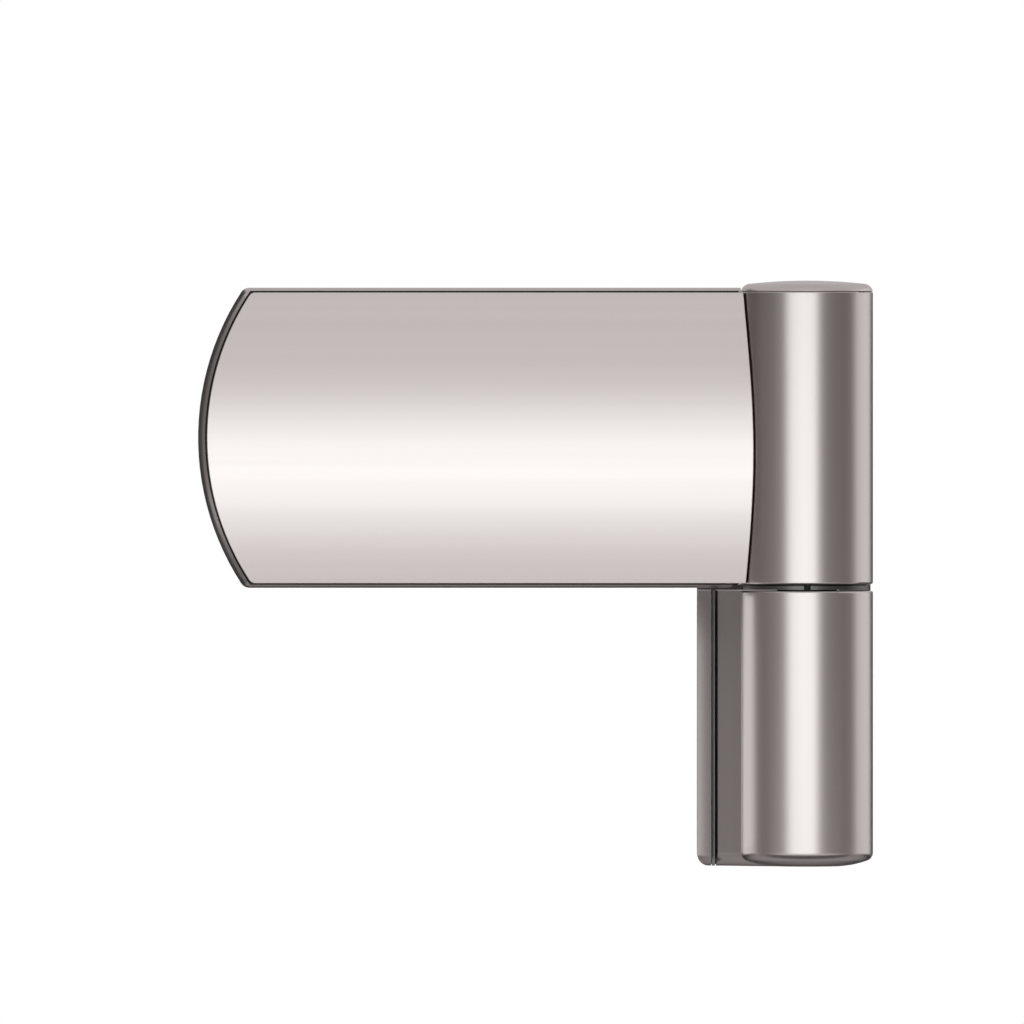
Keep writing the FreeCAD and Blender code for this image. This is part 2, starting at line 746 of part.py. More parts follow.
def make_bottom_plug():
    """Push-in plug with a slot to lever it out."""
    body = new_body("bottom_plug")
    profile = sketch_on(body, "front", "0", "plug_profile")
    outline(profile, [
        ("0", "-frame_height + bush_recess"),
        ("plug_radius", "-frame_height + bush_recess"),
        ("plug_radius", PLUG_SEAT),
        ("plug_spigot_radius", PLUG_SEAT),
        ("plug_spigot_radius", f"{PLUG_SEAT} + plug_spigot"),
        ("0", f"{PLUG_SEAT} + plug_spigot"),
    ])
    revolve(body, profile, "V_Axis")
    lever = sketch_on(body, "plan", f"{PLUG_SEAT} - bush_recess", "lever_slot")
    rectangle(lever, "-plug_radius / 2", "plug_radius / 2", "-plug_slot / 2", "plug_slot / 2")
    pocket(body, lever, "plug_rim")
    place(body)
    keep(body, "bottom_plug")


def make_leaf_carrier():
    """Tray with a rim, its deck slotted for the adjustment, and the arm with the upper barrel."""
    body = new_body("leaf_carrier")
    corner = end_corner("leaf_reach", "leaf_end_radius", "leaf_height / 2")
    tray_half = "(leaf_height / 2 - rim_side)"
    tray_radius = "(cover_end_radius + cover_gap)"
    tray_corner = end_corner("leaf_reach - rim_end", tray_radius, tray_half)
    shape = sketch_on(body, "front", CARRIER_BACK, "shape")
    outline(shape, [
        ("-barrel_radius", "seam_gap"),
        ("-barrel_radius", LEAF_TOP),
        (corner, LEAF_TOP, "leaf_end_radius"),
        (corner, LEAF_BOTTOM),
        ("-barrel_radius - leaf_step", LEAF_BOTTOM),
    ])
    plate = pad(body, shape, f"{CARRIER_BACK} - {RIM_FRONT}")
    corner_x = amount(corner)

    def is_end_corner(edge):
        return edge_along(edge, Y_AXIS) and abs(edge.CenterOfMass.x - corner_x) < 1e-6

    plate = round_edges(body, plate, "leaf_corner_radius", is_end_corner)
    rim_front = amount(RIM_FRONT)

    def is_rim_edge(edge):
        box = edge.BoundBox
        return abs(box.YMin - rim_front) < 1e-6 and box.YLength < 1e-6 and box.XLength > 1e-6

    round_edges(body, plate, "rim_edge_radius", is_rim_edge)
    arm = sketch_on(body, "front", CARRIER_BACK, "arm")
    rectangle(arm, "-barrel_radius - leaf_step", "-arm_root", "seam_gap", UPPER_TOP)
    pad(body, arm, f"{CARRIER_BACK} - {DECK_FRONT}")
    tray = sketch_on(body, "front", f"{RIM_FRONT} - overcut", "tray")
    outline(tray, [
        ("overcut - arm_root", f"{LEAF_MIDDLE} - {tray_half}"),
        ("overcut - arm_root", f"{LEAF_MIDDLE} + {tray_half}"),
        (tray_corner, f"{LEAF_MIDDLE} + {tray_half}", tray_radius),
        (tray_corner, f"{LEAF_MIDDLE} - {tray_half}"),
    ])
    pocket(body, tray, "tray_depth + overcut")
    recess = sketch_on(body, "front", DECK_BACK, "recess")
    half_run = "(base_length / 2 + side_travel + slot_clear)"
    half_rise = "(base_height / 2 + slot_clear)"
    rectangle(recess, f"-base_centre - {half_run}", f"-base_centre + {half_run}",
              f"{LEAF_MIDDLE} - {half_rise}", f"{LEAF_MIDDLE} + {half_rise}")
    pocket(body, recess, "base_thickness + overcut")
    cut_deck(body)
    barrel = sketch_on(body, "front", "0", "upper_barrel")
    outline(barrel, [
        ("0", "seam_gap"),
        ("barrel_radius - barrel_edge_radius", "seam_gap", "barrel_edge_radius"),
        ("barrel_radius", "seam_gap + barrel_edge_radius"),
        ("barrel_radius", f"{UPPER_TOP} - barrel_edge_radius", "barrel_edge_radius"),
        ("barrel_radius - barrel_edge_radius", UPPER_TOP),
        ("0", UPPER_TOP),
    ])
    revolve(body, barrel, "V_Axis")
    bore = sketch_on(body, "front", "0", "upper_bore")
    outline(bore, [
        ("0", "seam_gap - overcut"),
        (BUSH_SEAT, "seam_gap - overcut"),
        (BUSH_SEAT, PAD_SEAT),
        ("cap_spigot_radius", PAD_SEAT),
        ("cap_spigot_radius", f"{UPPER_TOP} + overcut"),
        ("0", f"{UPPER_TOP} + overcut"),
    ])
    groove(body, bore, "V_Axis")
    for lug, hole in (("lug_first", "spindle_radius"), ("lug_second", "spindle_tail_radius")):
        add_lug(body, lug, f"{hole} + run_clear")
    place(body)
    keep(body, "leaf_carrier")


def cut_deck(body):
    """Window for the nut, slots for the clamps, access to the fixing screws, sockets for the cover."""
    openings = sketch_on(body, "front", f"{DECK_FRONT} - overcut", "openings")
    nut_run = "(nut_length / 2 + side_travel + slot_clear)"
    nut_rise = "(nut_width / 2 + slot_clear)"
    rectangle(openings, f"-base_centre - {nut_run}", f"-base_centre + {nut_run}",
              f"{LEAF_MIDDLE} - {nut_rise}", f"{LEAF_MIDDLE} + {nut_rise}")
    for row in ("-", "+"):
        slot(openings, "-base_centre", f"{LEAF_MIDDLE} {row} clamp_spacing / 2",
             "side_travel", "clamp_radius + slot_clear")
        for column in ("-", "+"):
            slot(openings, f"-base_centre {column} base_hole_row / 2",
                 f"{LEAF_MIDDLE} {row} base_hole_column / 2", "side_travel", "base_head_radius + slot_clear")
    pocket(body, openings, "deck_thickness + 2 * overcut")
    sockets = sketch_on(body, "front", f"{DECK_FRONT} - overcut", "sockets")
    leg_inner = "(leaf_height / 2 - rim_side - cover_gap - cover_wall - slide_clear)"
    leg_outer = "(leaf_height / 2 - rim_side - cover_gap + slide_clear)"
    leg_half = "(cover_leg_width / 2 + slide_clear)"
    for column in ("-", "+"):
        middle = f"-base_centre {column} cover_leg_spacing / 2"
        rectangle(sockets, f"{middle} - {leg_half}", f"{middle} + {leg_half}",
                  f"{LEAF_MIDDLE} + {leg_inner}", f"{LEAF_MIDDLE} + {leg_outer}")
        rectangle(sockets, f"{middle} - {leg_half}", f"{middle} + {leg_half}",
                  f"{LEAF_MIDDLE} - {leg_outer}", f"{LEAF_MIDDLE} - {leg_inner}")
    pocket(body, sockets, "cover_leg_length + slot_clear + overcut")


def add_lug(body, lug, hole):
    """A bearing lug for the spindle, round at its free end."""
    profile = sketch_on(body, "side", f"-{lug} - lug_thickness / 2", lug)
    half = "(lug_width / 2)"
    outline(profile, [
        (f"{DECK_FRONT} + overcut", f"{LEAF_MIDDLE} - {half}"),
        (f"{DECK_FRONT} + overcut", f"{LEAF_MIDDLE} + {half}"),
        (SPINDLE_DEPTH, f"{LEAF_MIDDLE} + {half}"),
        (f"{SPINDLE_DEPTH} - lug_cap", f"{LEAF_MIDDLE} + {half} / 2"),
        (f"{SPINDLE_DEPTH} - lug_cap", f"{LEAF_MIDDLE} - {half} / 2"),
        (SPINDLE_DEPTH, f"{LEAF_MIDDLE} - {half}"),
    ])
    circle(profile, SPINDLE_DEPTH, LEAF_MIDDLE, hole)
    pad(body, profile, "lug_thickness")


def crown_at(height):
    """Depth of the cover's crown at a height, on a cylinder along X."""
    offset = f"({height} - {LEAF_MIDDLE} + crown_drop)"
    return f"(crown_radius + {CROWN_FRONT} - sqrt(crown_radius^2 - {offset}^2))"


def make_leaf_cover():
    """Crowned shell with an arched end, cut round the barrel, with four legs that clip in."""
    body = new_body("leaf_cover")
    back = f"({DECK_FRONT} - slide_clear)"
    half = "(leaf_height / 2 - rim_side - cover_gap)"
    reach = "leaf_reach - rim_end - cover_gap"
    corner = end_corner(reach, "cover_end_radius", half)
    low = f"({LEAF_MIDDLE} - {half})"
    high = f"({LEAF_MIDDLE} + {half})"
    shape = sketch_on(body, "front", back, "cover_shape")
    outline(shape, [
        ("-barrel_radius / 2", low),
        ("-barrel_radius / 2", high),
        (corner, high, "cover_end_radius"),
        (corner, low),
    ])
    pad(body, shape, f"{back} - {CROWN_FRONT} + overcut")
    crown = sketch_on(body, "side", "0", "crown")
    above = f"({high} + overcut)"
    below = f"({low} - overcut)"
    outline(crown, [
        (f"{CROWN_FRONT} - 2 * overcut", above),
        (crown_at(above), above, "crown_radius"),
        (crown_at(below), below),
        (f"{CROWN_FRONT} - 2 * overcut", below),
    ])
    shaped = pocket(body, crown, "leaf_reach + overcut")
    back_y = amount(back)
    open_faces = [
        f"Face{index}" for index, face in enumerate(shaped.Shape.Faces, start=1)
        if face.BoundBox.YLength < 1e-6 and abs(face.BoundBox.YMin - back_y) < 1e-6
    ]
    shell = body.newObject("PartDesign::Thickness", "cover_shell")
    shell.Base = (shaped, open_faces)
    shell.setExpression("Value", bound("cover_wall"))
    shell.Reversed = True
    shell.Join = 1
    settle(body, shell, False)
    corner_x = amount(corner)

    def is_end_corner(edge):
        return edge_along(edge, Y_AXIS) and abs(edge.CenterOfMass.x - corner_x) < 1e-6

    round_edges(body, shell, "cover_corner_radius", is_end_corner)
    clearance = sketch_on(body, "plan", f"{LEAF_TOP} + overcut", "barrel_clearance")
    circle(clearance, "0", "0", "barrel_radius + cover_barrel_gap")
    cut = pocket(body, clearance, "leaf_height + 2 * overcut")
    round_edges(body, cut, "cover_edge_radius", is_crown_edge)
    legs = sketch_on(body, "front", f"{back} + cover_leg_length", "legs")
    inner = f"({half} - cover_wall)"
    for column in ("-", "+"):
        middle = f"-base_centre {column} cover_leg_spacing / 2"
        left = f"{middle} - cover_leg_width / 2"
        right = f"{middle} + cover_leg_width / 2"
        rectangle(legs, left, right, f"{LEAF_MIDDLE} + {inner}", high)
        rectangle(legs, left, right, low, f"{LEAF_MIDDLE} - {inner}")
    pad(body, legs, "cover_leg_length + overcut")
    place(body)
    keep(body, "leaf_cover")


def is_crown_edge(edge):
    """True for the edges of the crowned face, along the skirt and round the barrel."""
    for vertex in edge.Vertexes:
        if abs(vertex.Point.y - amount(crown_at(str(vertex.Point.z)))) > 1e-4:
            return False
    return True


def make_base_plate():
    """Plate on the door leaf, with countersunk fixing holes and tapped holes for the clamps."""
    body = new_body("base_plate")
    shape = sketch_on(body, "front", "sash_offset", "base_shape")
    rectangle(shape, "-base_centre - base_length / 2", "-base_centre + base_length / 2",
              f"{LEAF_MIDDLE} - base_height / 2", f"{LEAF_MIDDLE} + base_height / 2")
    plate = pad(body, shape, "base_thickness")
    round_edges(body, plate, "base_corner_radius", lambda edge: edge_along(edge, Y_AXIS))
    tapped = sketch_on(body, "front", BASE_FRONT, "tapped")
    circle(tapped, "-base_centre", LEAF_MIDDLE, "nut_spigot_radius + seat_clear")
    for row in ("-", "+"):
        circle(tapped, "-base_centre", f"{LEAF_MIDDLE} {row} clamp_spacing / 2", "clamp_radius + seat_clear")
    pocket(body, tapped, "base_thickness + overcut")
    fixing = sketch_on(body, "front", BASE_FRONT, "base_fixing")
    for column in ("-", "+"):
        for row in ("-", "+"):
            circle(fixing, f"-base_centre {column} base_hole_row / 2",
                   f"{LEAF_MIDDLE} {row} base_hole_column / 2", "base_hole_radius")
    countersunk_holes(body, fixing, "base_hole_radius", "base_head_radius")
    place(body)
    keep(body, "base_plate")


def make_spindle_nut():
    """Threaded block on the base plate, with a spigot riveted through it."""
    body = new_body("spindle_nut")
    block = sketch_on(body, "front", BASE_FRONT, "nut_block")
    rectangle(block, "-base_centre - nut_length / 2", "-base_centre + nut_length / 2",
              f"{LEAF_MIDDLE} - nut_width / 2", f"{LEAF_MIDDLE} + nut_width / 2")
    pad(body, block, f"{BASE_FRONT} - {SPINDLE_DEPTH} + nut_cap")
    spigot = sketch_on(body, "front", "sash_offset - clamp_end_gap", "nut_spigot")
    circle(spigot, "-base_centre", LEAF_MIDDLE, "nut_spigot_radius")
    pad(body, spigot, "base_thickness")
    thread = sketch_on(body, "side", "-base_centre + nut_length / 2 + overcut", "nut_thread")
    circle(thread, SPINDLE_DEPTH, LEAF_MIDDLE, "spindle_radius + run_clear")
    pocket(body, thread, "nut_length + 2 * overcut")
    place(body)
    keep(body, "spindle_nut")


# Places along the spindle, as coordinates
HEAD_FACE = "(-lug_first - lug_thickness / 2 - 2 * slide_clear)"
HEAD_END = "(-lug_first - lug_thickness / 2 - 2 * slide_clear - spindle_head_length)"
GROOVE_START = "(-lug_first + lug_thickness / 2 + 2 * slide_clear)"
GROOVE_END = "(-lug_first + lug_thickness / 2 + 4 * slide_clear + keeper_thickness)"
TAIL_START = "(-lug_second - lug_thickness / 2 - 2 * overcut)"
TAIL_END = "(-lug_second + lug_thickness / 2 + overcut)"
GROOVE_RADIUS = "(spindle_radius - keeper_groove)"


def make_side_spindle():
    """Stepped spindle: socket head, journal, keeper groove, threaded run and tail journal."""
    body = new_body("side_spindle")
    profile = sketch_on(body, "plan", "0", "spindle_profile")
    outline(profile, [
        (HEAD_END, "0"), (TAIL_END, "0"), (TAIL_END, "spindle_tail_radius"),
        (TAIL_START, "spindle_tail_radius"), (TAIL_START, "spindle_radius"),
        (GROOVE_END, "spindle_radius"), (GROOVE_END, GROOVE_RADIUS),
        (GROOVE_START, GROOVE_RADIUS), (GROOVE_START, "spindle_radius"),
        (HEAD_FACE, "spindle_radius"), (HEAD_FACE, "spindle_head_radius"), (HEAD_END, "spindle_head_radius"),
    ])
    revolve(body, profile, "H_Axis")
    socket = sketch_on(body, "side", f"{HEAD_END} + socket_depth", "spindle_socket_flats")
    hexagon(socket, "spindle_socket")
    pocket(body, socket, "socket_depth + overcut")
    place(body, "0", SPINDLE_DEPTH, LEAF_MIDDLE)
    keep(body, "side_spindle")


def make_spindle_keeper():
    """Open retaining clip in the spindle's groove."""
    body = new_body("spindle_keeper")
    ring = sketch_on(body, "side", f"{GROOVE_START} + slide_clear", "keeper_ring")
    circle(ring, "0", "0", "spindle_head_radius")
    circle(ring, "0", "0", f"{GROOVE_RADIUS} + seat_clear")
    pad(body, ring, "keeper_thickness")
    mouth = sketch_on(body, "side", f"{GROOVE_END} + overcut", "keeper_mouth")
    rectangle(mouth, f"-{GROOVE_RADIUS} / 2", f"{GROOVE_RADIUS} / 2", "-spindle_head_radius - overcut", "0")
    pocket(body, mouth, "keeper_thickness + 2 * overcut")
    place(body, "0", SPINDLE_DEPTH, LEAF_MIDDLE)
    keep(body, "spindle_keeper")


WASHER_BACK = f"({DECK_FRONT} - slide_clear)"
HEAD_SEAT = f"({DECK_FRONT} - slide_clear - washer_thickness)"


def make_clamps():
    """Two socket screws with washers, through the deck's slots into the base plate."""
    screws = []
    washers = []
    for index, row in enumerate(("-", "+")):
        height = f"{LEAF_MIDDLE} {row} clamp_spacing / 2"
        screw = new_body(f"clamp_screw_{index}")
        profile = sketch_on(screw, "plan", "0", f"clamp_profile_{index}")
        outline(profile, [
            ("0", f"{HEAD_SEAT} - clamp_head_height"),
            ("clamp_head_radius - pin_chamfer", f"{HEAD_SEAT} - clamp_head_height"),
            ("clamp_head_radius", f"{HEAD_SEAT} - clamp_head_height + pin_chamfer"),
            ("clamp_head_radius", HEAD_SEAT),
            ("clamp_radius", HEAD_SEAT),
            ("clamp_radius", "sash_offset - clamp_end_gap"),
            ("0", "sash_offset - clamp_end_gap"),
        ])
        revolve(screw, profile, "V_Axis")
        head_top = f"{HEAD_SEAT} - clamp_head_height"
        socket = sketch_on(screw, "front", f"{head_top} - overcut", f"clamp_flats_{index}")
        hexagon(socket, "clamp_socket")
        pocket(screw, socket, "clamp_head_height / 2 + overcut")
        place(screw, "-base_centre", "0", height)
        screws.append(screw)
        washer = new_body(f"clamp_washer_{index}")
        ring = sketch_on(washer, "front", WASHER_BACK, f"washer_ring_{index}")
        circle(ring, "0", "0", "washer_radius")
        circle(ring, "0", "0", "clamp_radius + slot_clear")
        pad(washer, ring, "washer_thickness")
        place(washer, "-base_centre", "0", height)
        washers.append(washer)
    make_group("clamp_screws", screws)
    make_group("clamp_washers", washers)


def check_document():
    """Stops at any object that failed, and at any sub-part without a sound solid."""
    doc.recompute()
    for thing in doc.Objects:
        if "Invalid" in thing.State or "Error" in thing.State:
            raise RuntimeError(f"{thing.Name} is {thing.State}")
    for label, thing in nodes:
        if thing.Shape.isNull() or not thing.Shape.isValid() or not thing.Shape.Solids:
            raise RuntimeError(f"{label} has no sound shape")


def write_parts():
    os.makedirs("parts", exist_ok=True)
    for label, thing in nodes:
        thing.Shape.exportStep(f"parts/{label}.step")


fill_sheet()
make_frame_bracket()
make_frame_cover()
make_frame_knuckle()
make_frame_screws()
make_hinge_pin()
make_lower_bush()
make_height_screw()
make_bottom_plug()
make_leaf_carrier()
make_upper_bush()
make_thrust_pad()
make_top_cap()
make_leaf_cover()
make_base_plate()
make_spindle_nut()
make_side_spindle()
make_spindle_keeper()
make_clamps()
check_document()
write_parts()
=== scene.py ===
"""A surface-mounted door hinge in satin metal, lit as in a small product studio."""
import json
import math

import bpy
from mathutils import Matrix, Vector

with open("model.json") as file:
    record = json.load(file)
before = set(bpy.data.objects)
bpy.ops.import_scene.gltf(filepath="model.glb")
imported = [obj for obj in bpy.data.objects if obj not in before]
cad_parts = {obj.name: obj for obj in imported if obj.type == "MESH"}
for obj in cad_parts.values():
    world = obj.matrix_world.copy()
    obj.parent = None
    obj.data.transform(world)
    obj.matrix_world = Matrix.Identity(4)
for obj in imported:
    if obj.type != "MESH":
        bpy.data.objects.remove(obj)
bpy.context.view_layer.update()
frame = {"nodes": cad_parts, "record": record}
nodes = frame["nodes"]

# Places taken from the model, in metres: the pin axis, the seam between the barrels and the leaf's tray
PIN_Y = -0.028
SEAM_Z = 0.02295
LEAF_Z = SEAM_Z + 0.02545
TRAY_HALF_HEIGHT = 0.02448
TRAY_END_RADIUS = 0.04371
TRAY_END_X = -0.0565
TRAY_RIGHT_X = -0.0113
DECK_Y = -0.0240
COLLAR_STEP_RADIUS = 0.00995
PLATE_DEPTH = 0.0045

# Noise mostly lies between these two values
NOISE_LOW = 0.3
NOISE_HIGH = 0.7

# Fractal detail and roughness of the grain and of the slow drift
GRAIN_DETAIL = 2.0
GRAIN_ROUGHNESS = 0.6
DRIFT_DETAIL = 3.0
DRIFT_ROUGHNESS = 0.5

# Strength of the relief; each finish gives its own height
RELIEF_STRENGTH = 0.12

# Grain and tone patterns, as cells per metre along X, Y and Z
ROUND = (5000.0, 5000.0, 5000.0)
COARSE = (2500.0, 2500.0, 2500.0)
DRAWN = (600.0, 5000.0, 5000.0)
PIN_BRUSH = (1400.0, 1400.0, 4.0)
PIN_STREAKS = (300.0, 300.0, 1.5)
LEAF_BRUSH = (4.0, 1400.0, 1400.0)
LEAF_STREAKS = (1.5, 300.0, 300.0)
CLOUD = (60.0, 60.0, 60.0)

# Colour sockets of a mix node
MIX_FACTOR = 0
MIX_FIRST = 6
MIX_SECOND = 7
MIX_RESULT = 2


# Shared finish effects


def new_group(name, inputs, outputs):
    """An empty shader group with named float or vector sockets, and its two end nodes."""
    group = bpy.data.node_groups.new(name, "ShaderNodeTree")
    for label, kind, value in inputs:
        socket = group.interface.new_socket(label, in_out="INPUT", socket_type=kind)
        socket.default_value = value
    for label, kind in outputs:
        group.interface.new_socket(label, in_out="OUTPUT", socket_type=kind)
    start = group.nodes.new("NodeGroupInput")
    end = group.nodes.new("NodeGroupOutput")
    return group, start, end


def noise(tree, vector, detail, roughness):
    """Fractal noise of unit scale on the given vector."""
    node = tree.nodes.new("ShaderNodeTexNoise")
    node.inputs["Scale"].default_value = 1.0
    node.inputs["Detail"].default_value = detail
    node.inputs["Roughness"].default_value = roughness
    tree.links.new(vector, node.inputs["Vector"])
    return node.outputs["Fac"]


def stretched_place(tree, stretch):
    """Object coordinates times a stretch: cells per metre along X, Y and Z."""
    place = tree.nodes.new("ShaderNodeTexCoord")
    scaled = tree.nodes.new("ShaderNodeVectorMath")
    scaled.operation = "MULTIPLY"
    tree.links.new(place.outputs["Object"], scaled.inputs[0])
    tree.links.new(stretch, scaled.inputs[1])
    return scaled.outputs["Vector"]


def span(tree, value, low, high):
    """Carries a value from where noise mostly lies to low..high."""
    node = tree.nodes.new("ShaderNodeMapRange")
    node.inputs["From Min"].default_value = NOISE_LOW
    node.inputs["From Max"].default_value = NOISE_HIGH
    tree.links.new(value, node.inputs["Value"])
    tree.links.new(low, node.inputs["To Min"])
    tree.links.new(high, node.inputs["To Max"])
    return node.outputs["Result"]


def grain_group():
    """Fine surface grain: roughness between two limits, a bump height and a slow tone drift."""
    group, start, end = new_group(
        "surface_grain",
        [("Stretch", "NodeSocketVector", ROUND), ("Drift", "NodeSocketVector", CLOUD),
         ("Low", "NodeSocketFloat", 0.25), ("High", "NodeSocketFloat", 0.35)],
        [("Roughness", "NodeSocketFloat"), ("Height", "NodeSocketFloat"), ("Tone", "NodeSocketFloat")])
    fine = noise(group, stretched_place(group, start.outputs["Stretch"]), GRAIN_DETAIL, GRAIN_ROUGHNESS)
    slow = noise(group, stretched_place(group, start.outputs["Drift"]), DRIFT_DETAIL, DRIFT_ROUGHNESS)
    roughness = span(group, fine, start.outputs["Low"], start.outputs["High"])
    group.links.new(roughness, end.inputs["Roughness"])
    group.links.new(fine, end.inputs["Height"])
    group.links.new(slow, end.inputs["Tone"])
    return group


def vector_step(tree, operation, vector, constant):
    """One vector operation with a constant; gives the node, whose outputs are Vector and Value."""
    node = tree.nodes.new("ShaderNodeVectorMath")
    node.operation = operation
    tree.links.new(vector, node.inputs[0])
    node.inputs[1].default_value = constant
    return node


def flat_place(tree, keep):
    """Object coordinates with only the axes that keep has a one for."""
    place = tree.nodes.new("ShaderNodeTexCoord")
    return vector_step(tree, "MULTIPLY", place.outputs["Object"], keep).outputs["Vector"]


def flat_distance(tree, keep, centre):
    """Distance from a centre along the axes that keep has a one for."""
    return vector_step(tree, "DISTANCE", flat_place(tree, keep), centre).outputs["Value"]


def below(tree, value, limit):
    """One where a value is under a limit, else zero."""
    node = tree.nodes.new("ShaderNodeMath")
    node.operation = "LESS_THAN"
    tree.links.new(value, node.inputs[0])
    node.inputs[1].default_value = limit
    return node.outputs["Value"]


def both(tree, first, second):
    """One where two masks are both one."""
    node = tree.nodes.new("ShaderNodeMath")
    node.operation = "MULTIPLY"
    tree.links.new(first, node.inputs[0])
    tree.links.new(second, node.inputs[1])
    return node.outputs["Value"]


def tray_group():
    """Mask of the leaf's tray, painted near black as shade: inside its arched outline and in front of its
    deck.
    """
    group, _, end = new_group("inside_tray", [], [("Mask", "NodeSocketFloat")])
    place = group.nodes.new("ShaderNodeTexCoord")
    axes = group.nodes.new("ShaderNodeSeparateXYZ")
    group.links.new(place.outputs["Object"], axes.inputs["Vector"])
    mask = below(group, flat_distance(group, (0.0, 0.0, 1.0), (0.0, 0.0, LEAF_Z)), TRAY_HALF_HEIGHT)
    capped = vector_step(group, "MINIMUM", flat_place(group, (1.0, 0.0, 1.0)), (TRAY_END_X, 1.0, 1.0))
    arch = vector_step(group, "DISTANCE", capped.outputs["Vector"], (TRAY_END_X, 0.0, LEAF_Z))
    mask = both(group, mask, below(group, arch.outputs["Value"], TRAY_END_RADIUS))
    mask = both(group, mask, below(group, axes.outputs["X"], TRAY_RIGHT_X))
    mask = both(group, mask, below(group, axes.outputs["Y"], DECK_Y))
    group.links.new(mask, end.inputs["Mask"])
    return group


def collar_group():
    """Mask of the bush inside its collar, painted near black as shade: nearer the pin axis than the
    collar's step.
    """
    group, _, end = new_group("inside_collar", [], [("Mask", "NodeSocketFloat")])
    reach = flat_distance(group, (1.0, 1.0, 0.0), (0.0, PIN_Y, 0.0))
    group.links.new(below(group, reach, COLLAR_STEP_RADIUS), end.inputs["Mask"])
    return group


def plate_group():
    """Mask of the bracket's base plate, next to the mounting face, painted darker: partly painted shade
    for the gap behind the leaf, partly a raw cast tone.
    """
    group, _, end = new_group("base_plate_side", [], [("Mask", "NodeSocketFloat")])
    depth = flat_distance(group, (0.0, 1.0, 0.0), (0.0, 0.0, 0.0))
    group.links.new(below(group, depth, PLATE_DEPTH), end.inputs["Mask"])
    return group


grain = grain_group()


def finish(name, colour, drift_colour, metallic, low, high, stretch, drift, bump,
           painted_shade_mask=None, painted_shade_colour=None):
    """A material whose colour drifts between two tones; the optional mask group marks places painted
    darker, as painted shade, in a second colour.
    """
    material = bpy.data.materials.new(name)
    material.use_nodes = True
    tree = material.node_tree
    shader = tree.nodes["Principled BSDF"]
    shader.inputs["Metallic"].default_value = metallic
    surface = tree.nodes.new("ShaderNodeGroup")
    surface.node_tree = grain
    surface.inputs["Stretch"].default_value = stretch
    surface.inputs["Drift"].default_value = drift
    surface.inputs["Low"].default_value = low
    surface.inputs["High"].default_value = high
    tone = tree.nodes.new("ShaderNodeMix")
    tone.data_type = "RGBA"
    tone.inputs[MIX_FIRST].default_value = (*colour, 1.0)
    tone.inputs[MIX_SECOND].default_value = (*drift_colour, 1.0)
    tree.links.new(surface.outputs["Tone"], tone.inputs[MIX_FACTOR])
    tint = tone.outputs[MIX_RESULT]
    if painted_shade_mask:
        inside = tree.nodes.new("ShaderNodeGroup")
        inside.node_tree = painted_shade_mask
        painted_shade_mix = tree.nodes.new("ShaderNodeMix")
        painted_shade_mix.data_type = "RGBA"
        painted_shade_mix.inputs[MIX_SECOND].default_value = (*painted_shade_colour, 1.0)
        tree.links.new(inside.outputs["Mask"], painted_shade_mix.inputs[MIX_FACTOR])
        tree.links.new(tint, painted_shade_mix.inputs[MIX_FIRST])
        tint = painted_shade_mix.outputs[MIX_RESULT]
    tree.links.new(tint, shader.inputs["Base Color"])
    tree.links.new(surface.outputs["Roughness"], shader.inputs["Roughness"])
    relief = tree.nodes.new("ShaderNodeBump")
    relief.inputs["Strength"].default_value = RELIEF_STRENGTH
    relief.inputs["Distance"].default_value = bump
    tree.links.new(surface.outputs["Height"], relief.inputs["Height"])
    tree.links.new(relief.outputs["Normal"], shader.inputs["Normal"])
    return material


